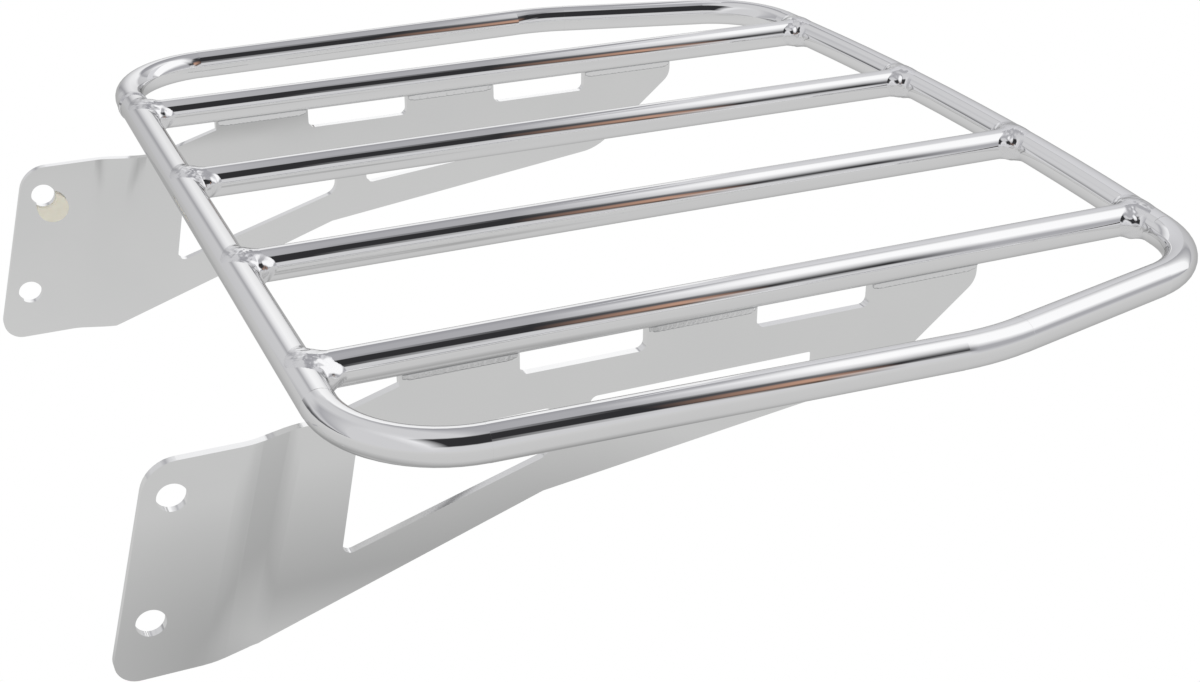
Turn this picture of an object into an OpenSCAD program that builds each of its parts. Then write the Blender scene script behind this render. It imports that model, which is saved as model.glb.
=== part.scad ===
// Chromed steel luggage rack for a motorcycle: a bent tube loop, four tubes along it
// and two side plates that bolt to the machine.
// Origin: halfway between the two upper bolt holes. +X runs to the rear of the machine,
// +Y to its right side and +Z up.

/* [Tube] */
// Outer diameter of the loop and of the four bars
tube_d = 12.7; // [12:0.1:13.4]
// Wall of the loop and of the bars
tube_wall = 1.5; // [1.2:0.1:2.4]
// Height of the tubes' centres above the upper bolt holes
tube_above = 31.3; // [30:0.1:33]
// Distance of the front tube's centre behind the upper bolt holes
tube_behind = 45.5; // [44:0.5:48]

/* [Loop] */
// Half width between the side tubes' centrelines, measured at the front tube
loop_half_w = 194.4; // [185:0.2:205]
// Outward splay of each side tube
side_splay = 2.1; // [0.5:0.1:3.5]
// Centreline radius of the two front corners
front_corner_r = 41.8; // [36:0.2:46]
// Centreline radius of the bend where each side turns inward
side_bend_r = 101; // [80:1:130]
// Angle of the inward taper behind that bend
side_taper = 13.3; // [11:0.1:15]
// Centreline radius of the two rear corners
rear_corner_r = 41.1; // [36:0.1:44]
// Centreline radius of the bowed rear tube
rear_bow_r = 1300; // [1000:10:1800]
// Distance from the side tubes at the front in to the ends of the rear tube's bow
rear_bow_in = 47.2358; // [45:0.1:50]
// Distance from the front tube's centre to the middle of the rear tube's
loop_len = 341.9; // [336:0.1:348]
// Gap between the loop's two ends under the butt weld
seam_gap = 0.5; // [0.2:0.1:1]

/* [Bars] */
// Distance of the outer bars, which carry the plates, inside the side tubes at the front
outer_bar_in = 62.3; // [60:0.1:66]
// Shift of the inner bars toward the middle from even spacing
inner_bar_shift = 0; // [-5:0.1:5]

/* [Side plates] */
// Thickness of the plates
plate_t = 3.2; // [2.5:0.1:4]
// Outward step from the welded part to the bolted part
step_out = 4.9; // [3:0.1:6]
// Distance of the step's front bend behind the line of the holes
step_front = 23.3; // [21:0.1:25]
// Distance between the step's two bends, which run parallel to the front edge
step_len = 15; // [13:0.5:16]
// Centreline radius of the two bends of the step
step_bend_r = 20; // [10:0.5:24]
// Margin of plate above the upper hole's centre
top_margin = 13.1; // [12.6:0.1:14.9]
// Margin of plate below the lower hole's centre
low_margin = 21.5; // [18:0.1:24]
// Margin from the line of the holes to the front edge
front_margin = 10; // [9:0.1:14]
// Radius of the bolted part's upper corner
upper_corner_r = 12.5; // [5:0.5:13.5]
// Radius of the bolted part's lower corner
lower_corner_r = 8; // [4:0.5:10]
// Distance behind the front tube at which the lower edge starts to rise, a negative value being ahead of it
rise_start = -22; // [-25:0.5:-18]
// Place along the plate where the lower edge turns flatter
knee_x = 83; // [80:1:88]
// Depth of the lower edge below the tubes' centres at that place
knee_drop = 62.8; // [61:0.1:66]
// Place along the plate where the lower edge turns up to the rear
heel_x = 220; // [215:1:222]
// Depth of the lower edge below the tubes' centres at that place
heel_drop = 46; // [44:0.1:48]
// Radius of that turn
heel_r = 25; // [15:1:28]
// Rear end of the plate
plate_end = 259.5; // [257:0.5:262]
// Depth of the rear corner below the tubes' centres
rear_corner_drop = 13.1; // [12:0.1:14]
// Radius of the rear corner
rear_end_r = 8; // [4:0.5:10]

/* [Bolt holes] */
// Diameter of the four bolt holes
hole_d = 10.2; // [8.5:0.1:11]
// Distance between the upper and the lower hole
hole_pitch = 46.6; // [44:0.1:48]
// Lean of the line of the holes, and of the front edge
hole_lean = 14.2; // [12:0.1:16]

/* [Tabs and windows] */
// Front end of the first of the three tabs that reach the outer bar
tab_1_front = 32.5; // [28:0.5:36]
// Rear end of the first tab
tab_1_end = 75; // [70:0.5:80]
// Front end of the second tab
tab_2_front = 122.5; // [118:0.5:128]
// Rear end of the second tab
tab_2_end = 166; // [160:0.5:172]
// Front end of the third tab, which runs to the plate's end
tab_3_front = 213; // [206:0.5:218]
// Depth of the slots' floor below the tubes' centres
slot_drop = 15; // [13:0.1:17]
// Radius of the slots' lower corners
slot_r = 3; // [1.5:0.5:4]
// Depth of the plate's edge at the foot of the first tab
shoulder_drop = 10.2; // [9:0.1:12]
// Place where that edge starts to rise
shoulder_x = 6; // [2:0.5:12]
// Depth of the front window's upper edge below the tubes' centres
window_top = 30; // [28:0.1:32]
// Upper front corner of the front window
window_front_x = 16.6; // [15:0.1:19]
// Lower front corner of the front window, along the plate
window_low_x = 8.8; // [7.5:0.1:11]
// Depth of that corner below the tubes' centres
window_low_drop = 71.6; // [69:0.1:72.5]
// Lower rear corner of the front window, along the plate
window_knee_x = 86; // [84:0.1:87]
// Depth of that corner below the tubes' centres
window_knee_drop = 48.4; // [47:0.1:49.5]
// Rear end of the front window at its upper edge
window_end = 87.4; // [86.5:0.1:90]
// Radius of the front window's corners
window_r = 3; // [1.5:0.1:3.5]
// Radius of the front window's lower rear corner
window_knee_r = 6; // [3:0.5:7]
// Depth of the rear window's upper edge below the tubes' centres
rear_window_top = 29; // [27:0.1:31]
// Front end of the rear window
rear_window_front = 101; // [99:0.5:105]
// Rear end of the rear window
rear_window_end = 191; // [185:0.5:196]
// Depth of the rear window's lower edge at its front end
rear_window_low = 46.3; // [44:0.1:48]
// Depth of the rear window's lower edge at its rear end
rear_window_low_end = 37.9; // [36:0.1:40]
// Radius of the rear window's corners
rear_window_r = 3; // [1.5:0.1:4]

/* [Welds] */
// Reach of each bar's end bead along the bar from the loop's centreline
bead_reach = 11; // [9:0.1:12.5]
// Height of the end bead over the bar
bead_rise = 2.4; // [1.4:0.1:3]
// Radius of the beads along the tabs
tab_bead_r = 1.9; // [1.4:0.1:2.4]
// Height of the bead round the loop's butt joint
seam_rise = 0.5; // [0.3:0.1:0.9]
// Width of that bead
seam_w = 5; // [3:0.1:6]

/* [Pad] */
// Diameter of the nylon pad by the right upper hole
pad_d = 13.4; // [12:0.1:15]
// Thickness of the pad
pad_t = 2; // [1:0.1:4]
// Distance of the pad's middle behind the hole's
pad_behind = 3.3; // [2:0.1:5]
// Distance of the pad's middle below the hole's
pad_below = 5.7; // [4:0.1:8]
// Clearance of the pad round the hole
pad_clear = 0.2; // [0.1:0.1:0.6]

/* [Hidden] */
R = tube_d / 2;
bore_r = R - tube_wall;
round_n = 64;
// Smoothness of the long bow of the rear tube
bow_n = 1440;
// Bends are this much thinner than the straights that run a little way over their ends
bend_thin = 0.05;
lap = 0.4;
bend_lap = 0.1;
// Clearance of the rear end beads round the rear tube
bead_clear = 0.02;
over = 1;
hole_r = hole_d / 2;
big = 600;

// Loop path, in the tubes' plane with the front tube's centreline at x = 0
function turn(a) = [cos(a), sin(a)];
rear_centre = [loop_len - rear_bow_r, 0];
rear_half_angle = asin((loop_half_w - rear_bow_in) / rear_bow_r);
rear_end_p = rear_centre + rear_bow_r * turn(rear_half_angle);
rear_corner_c = rear_end_p - rear_corner_r * turn(rear_half_angle);
taper_start = rear_corner_c + rear_corner_r * turn(90 - side_taper);
taper_dir = turn(180 - side_taper);
side_dir = turn(side_splay);
side_root = [0, loop_half_w];
// Distance along the taper from its rear end to the meeting point with the side line
taper_run = ((side_root[0] - taper_start[0]) * side_dir[1] - (side_root[1] - taper_start[1]) * side_dir[0])
    / (taper_dir[0] * side_dir[1] - taper_dir[1] * side_dir[0]);
side_vertex = taper_start + taper_run * taper_dir;
side_tangent = side_bend_r * tan((side_taper + side_splay) / 2);
taper_end = side_vertex - side_tangent * taper_dir;
side_end = side_vertex - side_tangent * side_dir;
side_bend_c = taper_end - side_bend_r * turn(90 - side_taper);
front_tangent = front_corner_r * tan((90 - side_splay) / 2);
side_start = side_root + front_tangent * side_dir;
front_y = loop_half_w - front_tangent;
front_corner_c = [front_corner_r, front_y];
outer_bar_y = loop_half_w - outer_bar_in;
inner_bar_y = outer_bar_y / 3 - inner_bar_shift;
// The butt joint lies halfway between the outer bar's bead and the front corner
seam_y = (outer_bar_y + R + bead_rise + front_y) / 2;
bow_lap = lap / rear_bow_r * 180 / PI;

// Places on the plates, in the same plane: along, and up from the tubes' centres
upper_hole = [-tube_behind, -tube_above];
lower_hole = upper_hole + [-hole_pitch * sin(hole_lean), -hole_pitch * cos(hole_lean)];
flat_top = upper_hole[1] + top_margin;
flat_low = lower_hole[1] - low_margin;
tab_front = [tab_1_front, tab_2_front, tab_3_front];
tab_end = [tab_1_end, tab_2_end, plate_end];
inner_face_y = outer_bar_y + step_out - plate_t / 2;
outer_face_y = outer_bar_y + step_out + plate_t / 2;
// Middle and half length of the end beads, and how far they run over the loop's centreline
bead_lead = 1.5;
bead_half = (bead_reach + bead_lead) / 2;
bead_x = bead_reach - bead_half;
// Along-place of the front edge at height z
function front_edge(z) = upper_hole[0] - front_margin / cos(hole_lean) - (upper_hole[1] - z) * tan(hole_lean);
// Centre of the rear tube at distance y from the middle
function rear_x(y) = rear_centre[0] + sqrt(rear_bow_r * rear_bow_r - y * y);

steel = [0.80, 0.80, 0.82];
weld_steel = [0.62, 0.62, 0.65];
nylon = [0.90, 0.88, 0.78];

// Puts what is drawn from the front tube's centreline into the part's own frame
module in_frame()
    translate([tube_behind, 0, tube_above])
        children();

// Straight length of tube between two points of the path, run over both by the lap given
module tube_line(p, q, lap_p, lap_q) {
    d = q - p;
    run = norm(d) + lap_p + lap_q;
    translate([p[0], p[1], 0])
        rotate([0, 0, atan2(d[1], d[0])])
            translate([-lap_p, 0, 0])
                rotate([0, 90, 0])
                    difference() {
                        cylinder(r = R, h = run, $fn = round_n);
                        translate([0, 0, -over])
                            cylinder(r = bore_r, h = run + 2 * over, $fn = round_n);
                    }
}

// Bent length of tube about a centre, from one angle to another
module tube_arc(centre, bend_r, a0, a1, thin, n)
    translate([centre[0], centre[1], 0])
        rotate([0, 0, a0])
            rotate_extrude(angle = a1 - a0, $fn = n)
                translate([bend_r, 0])
                    difference() {
                        circle(r = R - thin, $fn = round_n);
                        circle(r = bore_r + thin, $fn = round_n);
                    }

// Point of the path on one side of the rack: s is 1 on the right and -1 on the left
function on_side(p, s) = [p[0], s * p[1]];

// Bent length of the loop on one side, its angles given as on the right
module side_arc(centre, bend_r, a0, a1, s)
    tube_arc(on_side(centre, s), bend_r, s > 0 ? a0 : -a1, s > 0 ? a1 : -a0, bend_thin, round_n);

// One side of the loop, from the front tube to the rear tube
module loop_side(s) {
    side_arc(front_corner_c, front_corner_r, 90 + side_splay, 180, s);
    tube_line(on_side(side_start, s), on_side(side_end, s), lap, lap);
    side_arc(side_bend_c, side_bend_r, 90 - side_taper, 90 + side_splay, s);
    tube_line(on_side(taper_end, s), on_side(taper_start, s), lap, lap);
    side_arc(rear_corner_c, rear_corner_r, rear_half_angle, 90 - side_taper, s);
}

// The whole loop: one tube whose ends meet at the butt joint in the front tube
module loop_tube()
    color(steel)
        in_frame() {
            loop_side(1);
            loop_side(-1);
            tube_arc(rear_centre, rear_bow_r, -rear_half_angle - bow_lap, rear_half_angle + bow_lap, 0, bow_n);
            tube_line([0, -front_y], [0, seam_y - seam_gap / 2], lap, 0);
            tube_line([0, seam_y + seam_gap / 2], [0, front_y], 0, lap);
        }

// Bead round the butt joint, which also fills the gap between the ends
module loop_seam_weld()
    color(weld_steel)
        in_frame()
            translate([0, seam_y, 0])
                rotate([90, 0, 0])
                    rotate_extrude($fn = round_n)
                        difference() {
                            union() {
                                translate([bore_r, -seam_gap / 2])
                                    square([tube_wall + seam_rise / 2, seam_gap]);
                                polygon([
                                    [R - over / 4, -seam_w / 2],
                                    [R, -seam_w / 2],
                                    [R + seam_rise, -seam_w / 5],
                                    [R + seam_rise, seam_w / 5],
                                    [R, seam_w / 2],
                                    [R - over / 4, seam_w / 2]
                                ]);
                            }
                            translate([0, -seam_w])
                                square([R, seam_w - seam_gap / 2]);
                            translate([0, seam_gap / 2])
                                square([R, seam_w]);
                        }

// Outside of the front tube and of the rear tube with a clearance round it, as cutters
module front_tube_outside()
    translate([0, -front_y, 0])
        rotate([-90, 0, 0])
            cylinder(r = R, h = 2 * front_y, $fn = round_n);

module rear_tube_outside(clear)
    translate([rear_centre[0], 0, 0])
        rotate([0, 0, -rear_half_angle])
            rotate_extrude(angle = 2 * rear_half_angle, $fn = bow_n)
                translate([rear_bow_r, 0])
                    circle(r = R + clear, $fn = round_n);

// Outside of a bar at distance y from the middle, as a cutter
module bar_outside(y)
    translate([-R, y, 0])
        rotate([0, 90, 0])
            cylinder(r = R, h = loop_len + 2 * R, $fn = round_n);

// Bar along the rack, its ends cut to fit round the front and rear tubes
module bar(y)
    color(steel)
        in_frame()
            difference() {
                translate([0, y, 0])
                    rotate([0, 90, 0])
                        difference() {
                            cylinder(r = R, h = rear_x(y), $fn = round_n);
                            translate([0, 0, -over])
                                cylinder(r = bore_r, h = rear_x(y) + 2 * over, $fn = round_n);
                        }
                front_tube_outside();
                rear_tube_outside(0);
            }

// Round swelling of weld at a bar's end, before the tubes are cut from it
module bead_swelling()
    rotate([0, 90, 0])
        rotate_extrude($fn = round_n)
            polygon([
                [R - over, -bead_lead],
                [R + 0.25 * bead_rise, -bead_lead],
                [R + 0.8 * bead_rise, bead_x - 0.6 * bead_half],
                [R + bead_rise, bead_x - 0.1 * bead_half],
                [R + 0.95 * bead_rise, bead_x + 0.3 * bead_half],
                [R + 0.6 * bead_rise, bead_x + 0.7 * bead_half],
                [R, bead_reach],
                [R - over, bead_reach]
            ]);

module front_weld(y)
    color(weld_steel)
        in_frame()
            difference() {
                translate([0, y, 0])
                    bead_swelling();
                bar_outside(y);
                front_tube_outside();
            }

module rear_weld(y)
    color(weld_steel)
        in_frame()
            difference() {
                translate([rear_x(y), y, 0])
                    rotate([0, 0, 180])
                        bead_swelling();
                rear_tube_outside(bead_clear);
                bar_outside(y);
            }

// Sliver outside a rounded corner: b is the corner, a and c its neighbours
module corner_sliver(a, b, c, r) {
    u = (a - b) / norm(a - b);
    v = (c - b) / norm(c - b);
    half = acos(u * v) / 2;
    run = r / tan(half);
    mid = (u + v) / norm(u + v);
    centre = b + (r / sin(half)) * mid;
    difference() {
        polygon([b + run * u, b - 0.5 * mid, b + run * v, centre]);
        translate(centre)
            circle(r = r, $fn = round_n);
    }
}

// Polygon whose corners are rounded by the radii given, 0 leaving a corner sharp
module rounded(points, radii) {
    n = len(points);
    difference() {
        polygon(points);
        for (i = [0 : n - 1])
            if (radii[i] > 0)
                corner_sliver(points[(i + n - 1) % n], points[i], points[(i + 1) % n], radii[i]);
    }
}

// Side view of a plate, tabs and slots still joined into one upper edge
module plate_outline()
    rounded([
        [front_edge(flat_top), flat_top],
        [shoulder_x, flat_top],
        [tab_front[0], -shoulder_drop],
        [tab_front[0], -R / 2],
        [plate_end, -R / 2],
        [plate_end, -rear_corner_drop],
        [heel_x, -heel_drop],
        [knee_x, -knee_drop],
        [rise_start, flat_low],
        [front_edge(flat_low), flat_low]
    ], [upper_corner_r, 0, 0, 0, 0, rear_end_r, heel_r, 0, 0, lower_corner_r]);

// Slots between the tabs
module slots() {
    for (i = [0, 1])
        rounded([
            [tab_end[i], over],
            [tab_front[i + 1], over],
            [tab_front[i + 1], -slot_drop],
            [tab_end[i], -slot_drop]
        ], [0, 0, slot_r, slot_r]);
}

// Front window, a long triangle
module front_window()
    rounded([
        [window_front_x, -window_top],
        [window_end, -window_top],
        [window_knee_x, -window_knee_drop],
        [window_low_x, -window_low_drop]
    ], [window_r, window_r, window_knee_r, window_r]);

// Rear window, long and low
module rear_window()
    rounded([
        [rear_window_front, -rear_window_top],
        [rear_window_end, -rear_window_top],
        [rear_window_end, -rear_window_low_end],
        [rear_window_front, -rear_window_low]
    ], [rear_window_r, rear_window_r, rear_window_r, rear_window_r]);

// Bent strip seen along its bends, on the right side, measured from the line of the holes:
// the bolted part stands outward
module plate_strip() {
    lean = atan(step_out / step_len);
    cut = step_bend_r * tan(lean / 2);
    p = [step_front, outer_bar_y + step_out];
    q = [step_front + step_len, outer_bar_y];
    d = (q - p) / norm(q - p);
    translate([-big / 2, p[1] - plate_t / 2])
        square([big / 2 + p[0] - cut + bend_lap, plate_t]);
    strip_bend([p[0] - cut, p[1] - step_bend_r], 90 - lean, 90);
    translate(p + cut * d)
        rotate(-lean)
            translate([-bend_lap, -plate_t / 2])
                square([norm(q - p) - 2 * cut + 2 * bend_lap, plate_t]);
    strip_bend([q[0] + cut, q[1] + step_bend_r], 270 - lean, 270);
    translate([q[0] + cut - bend_lap, q[1] - plate_t / 2])
        square([big, plate_t]);
}

// Sector of a ring, one bend of the strip
module strip_bend(centre, a0, a1)
    translate(centre)
        intersection() {
            difference() {
                circle(r = step_bend_r + plate_t / 2 - bend_thin, $fn = 2 * round_n);
                circle(r = step_bend_r - plate_t / 2 + bend_thin, $fn = 2 * round_n);
            }
            polygon([[0, 0], 2 * step_bend_r * turn(a0), 2 * step_bend_r * turn(a1)]);
        }

// Plate of the right side, in the tubes' plane
module plate()
    difference() {
        intersection() {
            translate([0, outer_bar_y + 20, 0])
                rotate([90, 0, 0])
                    linear_extrude(height = 40)
                        plate_outline();
            translate([upper_hole[0], 0, upper_hole[1]])
                rotate([0, hole_lean, 0])
                    translate([0, 0, -big / 2])
                        linear_extrude(height = big)
                            plate_strip();
        }
        translate([0, outer_bar_y + 20, 0])
            rotate([90, 0, 0])
                linear_extrude(height = 40) {
                    slots();
                    front_window();
                    rear_window();
                }
        plate_holes();
        bar_outside(outer_bar_y);
    }

module plate_holes()
    for (h = [upper_hole, lower_hole])
        translate([h[0], outer_bar_y + 20, h[1]])
            rotate([90, 0, 0])
                cylinder(r = hole_r, h = 40, $fn = round_n);

module right_side_plate()
    color(steel)
        in_frame()
            plate();

module left_side_plate()
    color(steel)
        in_frame()
            mirror([0, 1, 0])
                plate();

// Beads along both faces of a tab where it meets the underside of the bar
module tab_weld(i)
    difference() {
        for (s = [-1, 1])
            translate([tab_front[i] + 1, outer_bar_y + s * (plate_t / 2 + 0.4), -R - 0.3])
                rotate([0, 90, 0])
                    cylinder(r = tab_bead_r, h = tab_end[i] - tab_front[i] - 2, $fn = round_n);
        bar_outside(outer_bar_y);
        translate([0, outer_bar_y - plate_t / 2, -3 * R])
            cube([big / 2, plate_t, 3 * R]);
    }

module right_tab_weld(i)
    color(weld_steel)
        in_frame()
            tab_weld(i);

module left_tab_weld(i)
    color(weld_steel)
        in_frame()
            mirror([0, 1, 0])
                tab_weld(i);

// Round pad on the inner face of the right plate, relieved round the bolt hole
module nylon_pad()
    color(nylon)
        in_frame()
            difference() {
                translate([upper_hole[0] + pad_behind, inner_face_y, upper_hole[1] - pad_below])
                    rotate([90, 0, 0])
                        cylinder(r = pad_d / 2, h = pad_t, $fn = round_n);
                translate([upper_hole[0], outer_face_y, upper_hole[1]])
                    rotate([90, 0, 0])
                        cylinder(r = hole_r + pad_clear, h = 30, $fn = round_n);
            }

module left_outer_bar() bar(-outer_bar_y);
module left_inner_bar() bar(-inner_bar_y);
module right_inner_bar() bar(inner_bar_y);
module right_outer_bar() bar(outer_bar_y);
module left_outer_bar_front_weld() front_weld(-outer_bar_y);
module left_inner_bar_front_weld() front_weld(-inner_bar_y);
module right_inner_bar_front_weld() front_weld(inner_bar_y);
module right_outer_bar_front_weld() front_weld(outer_bar_y);
module left_outer_bar_rear_weld() rear_weld(-outer_bar_y);
module left_inner_bar_rear_weld() rear_weld(-inner_bar_y);
module right_inner_bar_rear_weld() rear_weld(inner_bar_y);
module right_outer_bar_rear_weld() rear_weld(outer_bar_y);
module left_front_tab_weld() left_tab_weld(0);
module left_middle_tab_weld() left_tab_weld(1);
module left_rear_tab_weld() left_tab_weld(2);
module right_front_tab_weld() right_tab_weld(0);
module right_middle_tab_weld() right_tab_weld(1);
module right_rear_tab_weld() right_tab_weld(2);

loop_tube();
loop_seam_weld();
left_outer_bar();
left_inner_bar();
right_inner_bar();
right_outer_bar();
left_side_plate();
right_side_plate();
left_outer_bar_front_weld();
left_inner_bar_front_weld();
right_inner_bar_front_weld();
right_outer_bar_front_weld();
left_outer_bar_rear_weld();
left_inner_bar_rear_weld();
right_inner_bar_rear_weld();
right_outer_bar_rear_weld();
left_front_tab_weld();
left_middle_tab_weld();
left_rear_tab_weld();
right_front_tab_weld();
right_middle_tab_weld();
right_rear_tab_weld();
nylon_pad();
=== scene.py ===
import math

import bmesh
import bpy
import numpy as np
from mathutils import Matrix, Vector


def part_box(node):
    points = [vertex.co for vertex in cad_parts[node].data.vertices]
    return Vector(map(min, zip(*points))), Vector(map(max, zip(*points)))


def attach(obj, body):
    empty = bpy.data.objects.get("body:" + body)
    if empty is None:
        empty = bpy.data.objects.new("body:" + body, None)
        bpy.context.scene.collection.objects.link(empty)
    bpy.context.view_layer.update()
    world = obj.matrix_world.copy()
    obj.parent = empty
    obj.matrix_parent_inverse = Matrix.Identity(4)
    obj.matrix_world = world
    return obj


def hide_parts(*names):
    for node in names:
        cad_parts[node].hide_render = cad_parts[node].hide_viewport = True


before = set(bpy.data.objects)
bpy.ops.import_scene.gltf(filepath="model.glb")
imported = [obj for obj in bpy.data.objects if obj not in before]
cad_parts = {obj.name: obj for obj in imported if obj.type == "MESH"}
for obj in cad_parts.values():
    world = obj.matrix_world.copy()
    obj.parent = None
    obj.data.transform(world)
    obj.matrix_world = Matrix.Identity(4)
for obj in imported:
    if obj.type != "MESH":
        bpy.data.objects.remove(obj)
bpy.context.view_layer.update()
print("frame loaded")

# Sizes that several pieces share, in metres
barLow, barHigh = [Vector(c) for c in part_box("right_outer_bar")]
loopLow, loopHigh = [Vector(c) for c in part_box("loop_tube")]
tubeR = (barHigh.z - barLow.z) / 2
barY = (barLow.y + barHigh.y) / 2
barZ = (barLow.z + barHigh.z) / 2
plateHalf = 0.0016  # half the thickness of a side plate
bowR = 1.3  # radius of the rear tube's long bow
bow = (loopHigh.x - tubeR - bowR, bowR)


# Linear tone of three screen values from 0 to 255
def linearTone(screen):
    shares = [value / 255.0 for value in screen]
    return tuple(s / 12.92 if s <= 0.04045 else ((s + 0.055) / 1.055) ** 2.4 for s in shares)


def newTree(holder):
    holder.use_nodes = True
    tree = holder.node_tree
    tree.nodes.clear()
    return tree


def addNode(tree, kind, **settings):
    made = tree.nodes.new(kind)
    for name, value in settings.items():
        setattr(made, name, value)
    return made


def link(tree, source, target):
    tree.links.new(source, target)


def mathNode(tree, operation, *values):
    made = addNode(tree, "ShaderNodeMath", operation=operation)
    for socket, value in zip(made.inputs, values):
        if isinstance(value, (int, float)):
            socket.default_value = value
        else:
            link(tree, value, socket)
    return made.outputs[0]


def rangeNode(tree, value, start, end, low=0.0, high=1.0, interpolation="LINEAR"):
    made = addNode(tree, "ShaderNodeMapRange", interpolation_type=interpolation)
    link(tree, value, made.inputs[0])
    for socket, number in zip(made.inputs[1:5], (start, end, low, high)):
        socket.default_value = number
    return made.outputs[0]


def rampNode(tree, factor, stops):
    made = addNode(tree, "ShaderNodeValToRGB")
    ramp = made.color_ramp
    ramp.interpolation = "LINEAR"
    while len(ramp.elements) > 1:
        ramp.elements.remove(ramp.elements[-1])
    for index, (place, colour) in enumerate(stops):
        if index == 0:
            stop = ramp.elements[0]
            stop.position = place
        else:
            stop = ramp.elements.new(place)
        stop.color = (*colour, 1.0)
    link(tree, factor, made.inputs["Fac"])
    return made.outputs["Color"]


def noiseNode(tree, place, scale, detail):
    made = addNode(tree, "ShaderNodeTexNoise")
    made.inputs["Scale"].default_value = scale
    made.inputs["Detail"].default_value = detail
    link(tree, place, made.inputs["Vector"])
    return made.outputs[0]


def mixColour(tree, factor, a, b):
    made = addNode(tree, "ShaderNodeMix", data_type="RGBA")
    link(tree, factor, made.inputs[0])
    for socket, value in ((made.inputs[6], a), (made.inputs[7], b)):
        if isinstance(value, tuple):
            socket.default_value = (*value, 1.0)
        else:
            link(tree, value, socket)
    return made.outputs[2]


def mixShader(tree, factor, a, b):
    made = addNode(tree, "ShaderNodeMixShader")
    for socket, source in zip(made.inputs, (factor, a, b)):
        link(tree, source, socket)
    return made.outputs[0]


def glowShader(tree, tone):
    made = addNode(tree, "ShaderNodeEmission")
    made.inputs[0].default_value = (*tone, 1)
    return made.outputs[0]


def splitPlace(tree, source="Object"):
    made = addNode(tree, "ShaderNodeSeparateXYZ")
    link(tree, addNode(tree, "ShaderNodeTexCoord").outputs[source], made.inputs[0])
    return made.outputs[0], made.outputs[1], made.outputs[2]


def endTree(tree, shader, kind="ShaderNodeOutputMaterial"):
    link(tree, shader, addNode(tree, kind).inputs[0])


def addObject(name, data):
    made = bpy.data.objects.new(name, data)
    bpy.context.scene.collection.objects.link(made)
    return made


# Camera at the photograph's viewpoint: angles in degrees, its place in metres, lens and sensor in millimetres
cameraLook = {
    "place": (-0.0714, -0.6290, 0.2988),
    "heading": 65.902,
    "pitch": -26.905,
    "roll": 0.444,
    "lens": 53.1,
    "sensor": 36.0,
    "clip": (0.01, 100.0),
}


def buildCamera():
    look = cameraLook
    heading, pitch, roll = [math.radians(look[k]) for k in ("heading", "pitch", "roll")]
    level = math.cos(pitch)
    forward = Vector((level * math.cos(heading), level * math.sin(heading), math.sin(pitch)))
    right = Vector((math.sin(heading), -math.cos(heading), 0))
    up = right.cross(forward)
    rightRolled = math.cos(roll) * right + math.sin(roll) * up
    upRolled = -math.sin(roll) * right + math.cos(roll) * up
    data = bpy.data.cameras.new("camera")
    data.sensor_fit = "HORIZONTAL"
    data.sensor_width = look["sensor"]
    data.lens = look["lens"]
    data.clip_start, data.clip_end = look["clip"]
    camera = addObject("camera", data)
    turn = Matrix((rightRolled, upRolled, -forward)).transposed().to_4x4()
    camera.matrix_world = Matrix.Translation(look["place"]) @ turn
    bpy.context.scene.camera = camera


# What stands round the rack in the studio, each a plain tone in screen values
studioTones = {
    "wall": (206, 206, 208),
    "haze": (236, 236, 238),
    "window": (253, 253, 254),
    "panel": (170, 170, 174),
    "shade": (155, 155, 160),
    "dusk": (95, 95, 98),
    "flag": (48, 48, 50),
    "wood": (190, 150, 130),
    "woodShade": (90, 75, 65),
}

# Where the chrome sees it. A row goes from the camera's side (0) over the top to the far side (180), and from
# each angle to the next, one tone runs into the other. "along" gives the row for each reach along the rack,
# and the tone that it has at the "farAngles". Inside "leanReach" the rows lean by "lean" degrees for each
# unit of reach, and the lean fades out over the angles of "leanFade".
studioLight = {
    "low": ((0, "wall"), (110, "wall"), (145, "panel"), (160, "wall"), (171, "dusk"), (180, "dusk")),
    "ahead": ((0, "wall"), (60, "haze"), (110, "wall"), (142, "panel")),
    "turned": ((0, "wall"), (26, "wall"), (31, "flag"), (74, "flag"), (79, "wall"), (145, "wall")),
    "dark": ((0, "wall"), (26, "wall"), (31, "flag"), (76, "flag"), (80, "panel"), (120, "panel"),
             (145, "shade")),
    "warm": ((0, "wall"), (9, "wall"), (13, "woodShade"), (18, "woodShade"), (26, "wood"), (36, "wood"),
             (46, "dusk"), (54, "dusk"), (64, "wall"), (100, "haze"), (120, "panel"), (145, "shade")),
    "line": ((0, "wall"), (20, "wall"), (27, "flag"), (36, "flag"), (57, "wall"), (80, "window"),
             (108, "window"), (132, "panel"), (145, "shade")),
    "open": ((0, "wall"), (20, "panel"), (36, "panel"), (62, "window"), (112, "window"), (130, "wall"),
             (145, "panel")),
    "along": (
        (-0.66, "low", None), (-0.48, "ahead", "wall"), (-0.27, "turned", "wall"),
        (-0.15, "turned", "panel"), (-0.06, "turned", "wall"), (0.06, "turned", "haze"),
        (0.22, "dark", "window"), (0.33, "dark", "window"), (0.41, "warm", "window"),
        (0.455, "line", "window"), (0.515, "line", "haze"), (0.56, "open", "wall"),
    ),
    "farAngles": (150, 180),
    "lean": 140.0,
    "leanFade": (85, 135),
    "leanReach": (0.24, 0.56),
}


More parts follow.
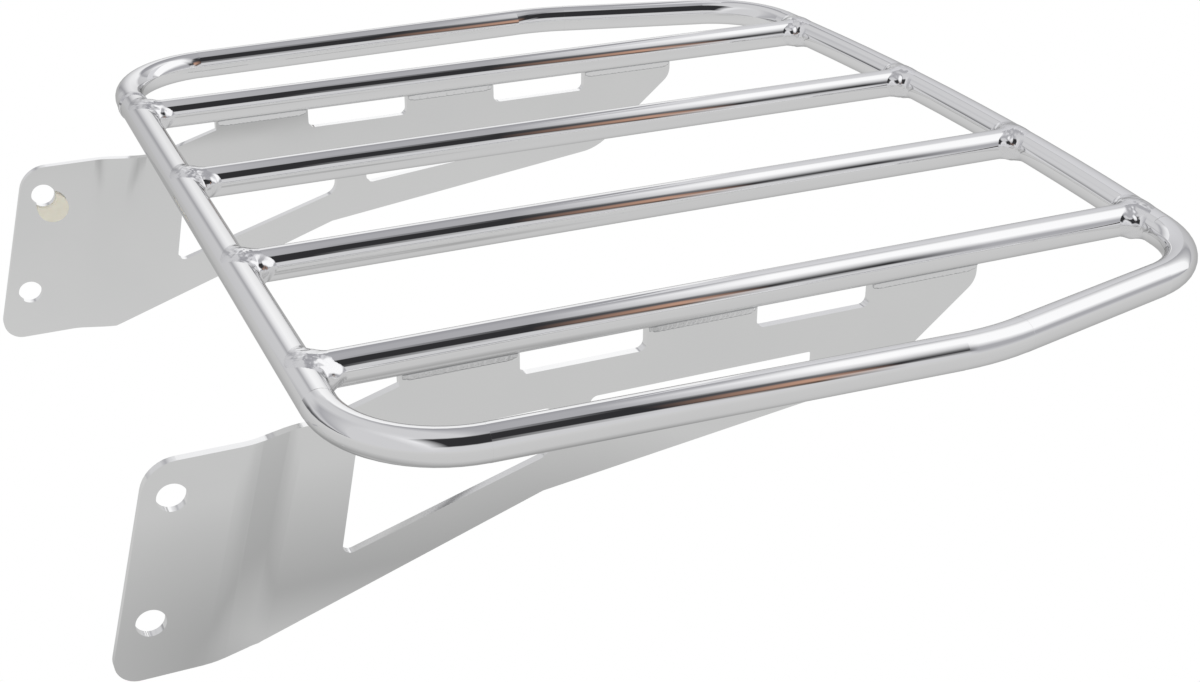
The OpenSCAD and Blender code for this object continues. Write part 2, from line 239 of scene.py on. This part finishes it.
# World: a plain studio whose light changes with the angle round the rack's long direction and along it
def buildWorld():
    look = studioLight
    world = bpy.data.worlds.new("studio")
    bpy.context.scene.world = world
    tree = newTree(world)
    x, y, z = splitPlace(tree, "Generated")
    angle = mathNode(tree, "ARCTAN2", z, mathNode(tree, "MULTIPLY", y, -1.0))
    turn = mathNode(tree, "MULTIPLY", angle, 1.0 / math.pi)
    nearest, furthest = look["leanReach"]
    held = addNode(tree, "ShaderNodeClamp")
    link(tree, x, held.inputs[0])
    held.inputs[1].default_value = nearest
    held.inputs[2].default_value = furthest
    fadeStart, fadeEnd = [a / 180 for a in look["leanFade"]]
    lean = rangeNode(tree, turn, fadeStart, fadeEnd, look["lean"] / 180, 0.0, "SMOOTHSTEP")
    blend = None
    for reach, name, farTone in look["along"]:
        row = look[name]
        if farTone:
            row += tuple((a, farTone) for a in look["farAngles"])
        stops = [(a / 180, linearTone(studioTones[thing])) for a, thing in row]
        off = mathNode(tree, "SUBTRACT", held.outputs[0], min(max(reach, nearest), furthest))
        colour = rampNode(tree, mathNode(tree, "MULTIPLY_ADD", off, lean, turn), stops)
        if blend is None:
            blend = colour
        else:
            blend = mixColour(tree, rangeNode(tree, x, before, reach), blend, colour)
        before = reach
    background = addNode(tree, "ShaderNodeBackground")
    link(tree, blend, background.inputs[0])
    endTree(tree, background.outputs[0], "ShaderNodeOutputWorld")


# Floor under the rack, white to the camera, and the tones that only the chrome shows on it: a shade along the
# near plate's foot. "shade" has the middle and half length of the line that it starts from, and that line's
# place across. The tone goes by the distance from the line, which counts "inward" times on the rack's side.
floorLook = {
    "height": -0.0685,
    "size": 30.0,
    "colour": (0.86, 0.86, 0.86),
    "shade": (0.085, 0.055, -0.134),
    "inward": 2.5,
    "tones": ((0.0, 192), (0.03, 166), (0.11, 198), (0.9, 204)),
}


def buildFloor():
    look = floorLook
    bm = bmesh.new()
    bmesh.ops.create_grid(bm, x_segments=1, y_segments=1, size=look["size"] / 2,
                          matrix=Matrix.Translation((0, 0, look["height"])))
    mesh = bpy.data.meshes.new("floor")
    bm.to_mesh(mesh)
    bm.free()
    floor = addObject("floor", mesh)
    material = bpy.data.materials.new("floorPaper")
    tree = newTree(material)
    x, y, z = splitPlace(tree)
    middle, half, across = look["shade"]
    fromMiddle = mathNode(tree, "ABSOLUTE", mathNode(tree, "SUBTRACT", x, middle))
    pastEnd = mathNode(tree, "MAXIMUM", mathNode(tree, "SUBTRACT", fromMiddle, half), 0.0)
    aside = mathNode(tree, "SUBTRACT", y, across)
    inward = mathNode(tree, "MULTIPLY", aside, look["inward"])
    aside = mathNode(tree, "MAXIMUM", inward, mathNode(tree, "MULTIPLY", aside, -1.0))
    squares = mathNode(tree, "MULTIPLY_ADD", aside, aside, mathNode(tree, "MULTIPLY", pastEnd, pastEnd))
    stops = [(distance, linearTone((tone, tone, tone))) for distance, tone in look["tones"]]
    shade = addNode(tree, "ShaderNodeEmission")
    link(tree, rampNode(tree, mathNode(tree, "SQRT", squares), stops), shade.inputs[0])
    paper = addNode(tree, "ShaderNodeBsdfDiffuse")
    paper.inputs[0].default_value = (*look["colour"], 1)
    path = addNode(tree, "ShaderNodeLightPath")
    toChrome = mixShader(tree, path.outputs["Is Glossy Ray"], paper.outputs[0], shade.outputs[0])
    endTree(tree, mixShader(tree, path.outputs["Is Camera Ray"], toChrome, glowShader(tree, (1, 1, 1))))
    mesh.materials.append(material)


# Pale card that only the chrome shows, beyond the rack's far rear corner: its low corner, width and height
cardLook = {"corner": (0.47, 0.40, 0.10), "width": 0.50, "height": 0.60, "tone": (215, 215, 218)}


def buildCard():
    look = cardLook
    halfWide, halfTall = look["width"] / 2, look["height"] / 2
    place = Matrix.Translation(Vector(look["corner"]) + Vector((halfWide, 0, halfTall)))
    upright = Matrix.Rotation(math.pi / 2, 4, "X") @ Matrix.Diagonal((halfWide, halfTall, 1, 1))
    bm = bmesh.new()
    bmesh.ops.create_grid(bm, x_segments=1, y_segments=1, size=1, matrix=place @ upright)
    mesh = bpy.data.meshes.new("paleCard")
    bm.to_mesh(mesh)
    bm.free()
    card = addObject("paleCard", mesh)
    material = bpy.data.materials.new("paleCard")
    tree = newTree(material)
    path = addNode(tree, "ShaderNodeLightPath")
    clear = addNode(tree, "ShaderNodeBsdfTransparent")
    pale = glowShader(tree, linearTone(look["tone"]))
    endTree(tree, mixShader(tree, path.outputs["Is Glossy Ray"], clear.outputs[0], pale))
    mesh.materials.append(material)


# Soft light that only matt surfaces answer to
softLook = {"place": (-0.7, -1.3, 1.3), "size": 1.4, "power": 14.0}


def buildSoftLight():
    data = bpy.data.lights.new("softLight", "AREA")
    data.shape = "DISK"
    data.size = softLook["size"]
    data.energy = softLook["power"]
    light = addObject("softLight", data)
    light.location = softLook["place"]
    light.rotation_euler = (-Vector(softLook["place"])).to_track_quat("-Z", "Y").to_euler()
    light.visible_glossy = False


# Chrome: its two tones, least and most roughness, strength of its waviness, tone at the edges, and the
# scales of the tone's and the waviness's noise
tubeLook = {
    "colour": (0.99, 0.99, 0.99), "dull": (0.965, 0.965, 0.97), "roughness": (0.008, 0.03), "wave": 0.015,
    "edge": 0.7, "toneScale": 40.0, "waveScale": 60.0,
}
plateLook = {
    "colour": (0.99, 0.99, 0.985), "dull": (0.95, 0.955, 0.955), "roughness": (0.06, 0.12), "wave": 0.05,
    "edge": 1.0, "toneScale": 22.0, "waveScale": 35.0,
}
weldLook = {
    "colour": (0.985, 0.985, 0.99), "dull": (0.94, 0.94, 0.95), "roughness": (0.08, 0.16), "wave": 0.03,
    "edge": 0.6, "toneScale": 300.0, "waveScale": 420.0,
}
# Of all chrome: the range of noise over which its gloss changes, the noises' detail and the waves' height
chromeGrain = {"glossRange": (0.3, 0.7), "toneDetail": 4.0, "waveDetail": 2.0, "waveHeight": 0.0006}


# Chrome with faint changes of tone and gloss and a slight waviness
def chromeMaterial(name, look):
    material = bpy.data.materials.new(name)
    tree = newTree(material)
    place = addNode(tree, "ShaderNodeTexCoord").outputs["Object"]
    tone = noiseNode(tree, place, look["toneScale"], chromeGrain["toneDetail"])
    wave = noiseNode(tree, place, look["waveScale"], chromeGrain["waveDetail"])
    shader = addNode(tree, "ShaderNodeBsdfPrincipled")
    shader.inputs["Metallic"].default_value = 1.0
    shader.inputs["Specular Tint"].default_value = (look["edge"], look["edge"], look["edge"], 1.0)
    link(tree, mixColour(tree, tone, look["dull"], look["colour"]), shader.inputs["Base Color"])
    least, most = look["roughness"]
    gloss = rangeNode(tree, tone, *chromeGrain["glossRange"], most, least)
    link(tree, gloss, shader.inputs["Roughness"])
    bump = addNode(tree, "ShaderNodeBump")
    bump.inputs["Strength"].default_value = look["wave"]
    bump.inputs["Distance"].default_value = chromeGrain["waveHeight"]
    link(tree, wave, bump.inputs["Height"])
    link(tree, bump.outputs[0], shader.inputs["Normal"])
    endTree(tree, shader.outputs[0])
    return material


# Cream nylon of the pad
nylonLook = {
    "colour": (0.95, 0.92, 0.80),
    "stain": (0.86, 0.81, 0.66),
    "roughness": 0.55,
    "spotScale": 260.0,
    "spotDetail": 3.0,
    "subsurface": 0.15,
    "subsurfaceRadius": (0.002, 0.0015, 0.001),
}


def nylonMaterial():
    look = nylonLook
    material = bpy.data.materials.new("nylonCream")
    tree = newTree(material)
    place = addNode(tree, "ShaderNodeTexCoord").outputs["Object"]
    spots = noiseNode(tree, place, look["spotScale"], look["spotDetail"])
    shader = addNode(tree, "ShaderNodeBsdfPrincipled")
    shader.inputs["Roughness"].default_value = look["roughness"]
    shader.inputs["Subsurface Weight"].default_value = look["subsurface"]
    shader.inputs["Subsurface Radius"].default_value = look["subsurfaceRadius"]
    link(tree, mixColour(tree, spots, look["stain"], look["colour"]), shader.inputs["Base Color"])
    endTree(tree, shader.outputs[0])
    return material


# Rows of bead where the tabs meet the bars above them, lengths in metres
tabBeadLook = {
    "down": 0.0024,  # how far a row reaches down the plate from the bar
    "out": 0.0024,  # and out from the plate along the bar
    "core": (0.0006, 0.0003),  # line inside a row, out from the plate's face and down from the bar
    "inPlate": 0.0009,  # depth of the row's back beyond that line
    "inBar": 0.0016,
    "barWay": (-0.3, 0.954),  # direction of the side inside the bar
    "pitch": 0.0019,  # ripples along a row
    "height": 0.00005,
    "broken": (0.7, 1900),  # second ripple: its share and its radians for each metre
    "taper": 0.0030,  # length over which an end thins out
    "thinned": 0.0004,  # and by how much
    "shift": 6,  # most shift of a row's ripples, in radians
    "around": 36,
    "cuts": 140,
    "seed": 40,
    "colour": (0.985, 0.985, 0.99),
    # painted shade: the darker chrome tone in the creases where a row meets the plate and the bar
    "creaseShade": (0.50, 0.51, 0.52),
    "creaseWidth": 0.00034,
    "creaseShares": (0.8, 0.6),  # shares of the width that change along a row and that stay
    "creaseFade": (0.2, 1.2),
    "creaseScale": 700.0,
    "creaseDetail": 2.0,
    "roughness": 0.08,
}


# Chrome of the beads along the tabs, with painted shade: darker in the creases against the plate and the bar
def tabBeadMaterial():
    look = tabBeadLook
    material = bpy.data.materials.new("tabBeadChrome")
    tree = newTree(material)
    x, y, z = splitPlace(tree)
    fromBar = mathNode(tree, "SUBTRACT", mathNode(tree, "ABSOLUTE", y), barY)
    fromPlate = mathNode(tree, "SUBTRACT", mathNode(tree, "ABSOLUTE", fromBar), plateHalf)
    upward = mathNode(tree, "SUBTRACT", z, barZ)
    squares = mathNode(tree, "MULTIPLY_ADD", upward, upward, mathNode(tree, "MULTIPLY", fromBar, fromBar))
    fromTube = mathNode(tree, "SUBTRACT", mathNode(tree, "SQRT", squares), tubeR)
    nearest = mathNode(tree, "MINIMUM", fromPlate, fromTube)
    place = addNode(tree, "ShaderNodeTexCoord").outputs["Object"]
    broken = noiseNode(tree, place, look["creaseScale"], look["creaseDetail"])
    changing, steady = [share * look["creaseWidth"] for share in look["creaseShares"]]
    width = mathNode(tree, "MULTIPLY_ADD", broken, changing, steady)
    share = mathNode(tree, "DIVIDE", nearest, width)
    # mask of the painted crease shade: 0 in the crease, 1 away from it
    creaseShade = rangeNode(tree, share, *look["creaseFade"], interpolation="SMOOTHSTEP")
    shader = addNode(tree, "ShaderNodeBsdfPrincipled")
    shader.inputs["Metallic"].default_value = 1.0
    shader.inputs["Roughness"].default_value = look["roughness"]
    # painted shade: the tone darkens towards the creases against the plate and the bar
    link(tree, mixColour(tree, creaseShade, look["creaseShade"], look["colour"]), shader.inputs["Base Color"])
    endTree(tree, shader.outputs[0])
    return material


def finishPiece(name, bm, material, nodes):
    mesh = bpy.data.meshes.new(name)
    bmesh.ops.recalc_face_normals(bm, faces=bm.faces)
    for face in bm.faces:
        face.smooth = True
    bm.to_mesh(mesh)
    bm.free()
    mesh.materials.append(material)
    piece = addObject(name, mesh)
    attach(piece, "root")
    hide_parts(*nodes)


# Two rows of bead along a tab: cones drawn in or out to a flat fillet, rippled and thinning at the ends
def buildTabWeld(node, material, seed):
    look = tabBeadLook
    low, high = [Vector(c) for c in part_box(node)]
    middle = (low + high) / 2
    length = high.x - low.x
    foot = Vector((plateHalf, -tubeR - look["down"]))
    reach = plateHalf + look["out"]
    head = Vector((reach, -math.sqrt(tubeR * tubeR - reach * reach)))
    slope = (head - foot).normalized()
    facing = Vector((slope.y, -slope.x))
    core = Vector((plateHalf + look["core"][0], -tubeR - look["core"][1]))
    depth = (foot - core).dot(facing)
    sides = (facing, Vector((-1, 0)), Vector(look["barWay"]))
    share, waves = look["broken"]
    startR = 0.001
    grazing = 0.05  # least cosine between a point's direction and a side that it meets
    bm = bmesh.new()
    draw = np.random.RandomState(seed)
    for side in (-1, 1):
        turn = Matrix.Rotation(math.pi / 2, 4, "Y")
        place = Matrix.Translation((middle.x, middle.y + side * core.x, barZ + core.y))
        axisY, axisZ = place.translation.y, place.translation.z
        made = bmesh.ops.create_cone(bm, cap_ends=True, segments=look["around"], radius1=startR,
                                     radius2=startR, depth=length, matrix=place @ turn)
        edges = [e for v in made["verts"] for e in v.link_edges
                 if abs(e.verts[0].co.x - e.verts[1].co.x) > length / 2]
        edges = list(dict.fromkeys(edges))
        bmesh.ops.subdivide_edges(bm, edges=edges, cuts=look["cuts"], use_grid_fill=False)
        shift = draw.uniform(0, look["shift"])
        for v in bm.verts:
            offset = Vector(((v.co.y - axisY) * side, v.co.z - axisZ))
            if offset.length > 1.02 * startR:  # a point of the other row
                continue
            offset.normalize()
            thin = 1 - min(1.0, min(v.co.x - low.x, high.x - v.co.x) / look["taper"])
            wave = math.sin(2 * math.pi * v.co.x / look["pitch"] + shift)
            wave += share * math.sin(v.co.x * waves + shift)
            depths = (depth + look["height"] * wave - look["thinned"] * thin, look["inPlate"], look["inBar"])
            far = min(d / offset.dot(s) for s, d in zip(sides, depths) if offset.dot(s) > grazing)
            v.co.y = axisY + side * offset.x * far
            v.co.z = axisZ + offset.y * far
    finishPiece(node + "_bead", bm, material, [node])


# Fillet between a bar's end and the loop, in metres
filletLook = {
    "legs": 0.0068,  # how far it runs up the bar and the loop
    "sink": 0.00012,  # how far its skirt lies under the tubes
    "core": 0.002,  # its surface is looked for from this far from the joint
    "reach": 0.0165,  # to this far
    "halvings": 20,
    "fineness": 6,  # subdivisions of the ball that it is drawn from
    "start": 0.9,  # where the bar begins, in radii of the tube
    # Lumps, each by its distance along the bar, angle round it in degrees and radius
    "lumps": ((0.0096, 172, 0.0027), (0.0074, 205, 0.0019), (0.0090, 8, 0.0025)),
    "lumpTurn": 8,  # most change of a lump's angle
    "lumpSizes": (0.85, 1.12),  # least and most share of its radius
    "lumpSink": 0.0004,  # depth of a lump's middle under the bar's surface
    "lumpBlend": 0.0030,
    "ripple": 0.00009,
    "rippleSize": 0.0042,
    "rippleFade": (0.35, 0.3),  # share of the fillet where the ripple starts, and over which it grows
    "frontSeed": 10,
    "rearSeed": 20,
}


# Even noise, mostly between -1 and 1, for rows of points: waves of about the given size, each its own way
def grain(points, size, seed):
    waves, shortest, longest, level = 9, 0.7, 1.5, 3.5
    draw = np.random.RandomState(seed)
    total = np.zeros(len(points))
    for count in range(waves):
        direction = draw.normal(size=3)
        direction /= np.linalg.norm(direction)
        pitch = size * draw.uniform(shortest, longest)
        total += np.sin(points @ direction * 2 * math.pi / pitch + draw.uniform(0, 2 * math.pi))
    return total / level


# How near two distances are to each other, from 0 at the blend apart to 1 where they are the same
def nearness(a, b, blend):
    return np.maximum(blend - np.abs(a - b), 0) / blend


# Smaller of two distances, rounded where they are within the blend of each other
def softMinimum(a, b, blend):
    share = nearness(a, b, blend)
    return np.minimum(a, b) - share * share * blend / 4


# Distance of points from a joint: the loop's tube, straight or bowed, the bar that starts in it, the fillet
# and its lumps
def jointDistance(points, centre, along, curve, seed):
    look = filletLook
    offset = points - centre
    past = np.minimum(offset[:, 0] * along - look["start"] * tubeR, 0)
    fromBar = np.sqrt(past ** 2 + offset[:, 1] ** 2 + offset[:, 2] ** 2) - tubeR
    if curve:
        across = np.hypot(points[:, 0] - curve[0], points[:, 1]) - curve[1]
    else:
        across = offset[:, 0]
    fromLoop = np.hypot(across, offset[:, 2]) - tubeR
    joined = softMinimum(fromBar, fromLoop, look["legs"]) + look["sink"]
    draw = np.random.RandomState(seed)
    for reach, angle, radius in look["lumps"]:
        turn = math.radians(angle + draw.uniform(-look["lumpTurn"], look["lumpTurn"]))
        size = radius * draw.uniform(*look["lumpSizes"])
        out = tubeR - look["lumpSink"]
        place = centre + np.array((along * reach, out * math.cos(turn), out * math.sin(turn)))
        joined = softMinimum(joined, np.linalg.norm(points - place, axis=1) - size, look["lumpBlend"])
    start, over = look["rippleFade"]
    weight = np.clip((nearness(fromBar, fromLoop, look["legs"]) - start) / over, 0, 1)
    size = look["rippleSize"]
    ripple = grain(points, size, seed) + 0.5 * grain(points, size / 2, seed + 1)
    return joined - look["ripple"] * weight * ripple


# Weld at a bar's end: a ball of faces drawn in or out until it lies on the joint's surface
def buildEndWeld(node, centre, along, curve, seed, material):
    look = filletLook
    bm = bmesh.new()
    bmesh.ops.create_icosphere(bm, subdivisions=look["fineness"], radius=1.0)
    rays = np.array([v.co[:] for v in bm.verts])
    low = np.full(len(rays), look["core"])
    high = np.full(len(rays), look["reach"])
    for halving in range(look["halvings"]):
        middle = (low + high) / 2
        outside = jointDistance(centre + rays * middle[:, None], centre, along, curve, seed) > 0
        high = np.where(outside, middle, high)
        low = np.where(outside, low, middle)
    for vert, point in zip(bm.verts, centre + rays * low[:, None]):
        vert.co = point
    finishPiece(node + "_fillet", bm, material, [node])


def paint(node, material):
    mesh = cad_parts[node].data
    if len(mesh.materials) == 0:
        mesh.materials.append(material)
    for index in range(len(mesh.materials)):
        mesh.materials[index] = material


buildCamera()
buildWorld()
buildFloor()
buildCard()
buildSoftLight()
print("studio built")

tubeChrome = chromeMaterial("tubeChrome", tubeLook)
plateChrome = chromeMaterial("plateChrome", plateLook)
weldChrome = chromeMaterial("weldChrome", weldLook)
nylonCream = nylonMaterial()
tabBeadChrome = tabBeadMaterial()

for index, bar in enumerate(("left_outer_bar", "left_inner_bar", "right_inner_bar", "right_outer_bar")):
    y = sum(c[1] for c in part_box(bar)) / 2
    front = np.array((loopLow.x + tubeR, y, barZ))
    rear = np.array((bow[0] + math.sqrt(bowR * bowR - y * y), y, barZ))
    buildEndWeld(bar + "_front_weld", front, 1, None, filletLook["frontSeed"] + index, weldChrome)
    buildEndWeld(bar + "_rear_weld", rear, -1, bow, filletLook["rearSeed"] + index, weldChrome)
for index, node in enumerate(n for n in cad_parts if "tab_weld" in n):
    buildTabWeld(node, tabBeadChrome, tabBeadLook["seed"] + index)
print("welds built")

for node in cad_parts:
    if "tab_weld" in node:
        paint(node, tabBeadChrome)
    elif "weld" in node:
        paint(node, weldChrome)
    elif "plate" in node:
        paint(node, plateChrome)
    elif node == "nylon_pad":
        paint(node, nylonCream)
    else:
        paint(node, tubeChrome)
print("materials set")

bpy.context.scene.view_settings.view_transform = "Standard"
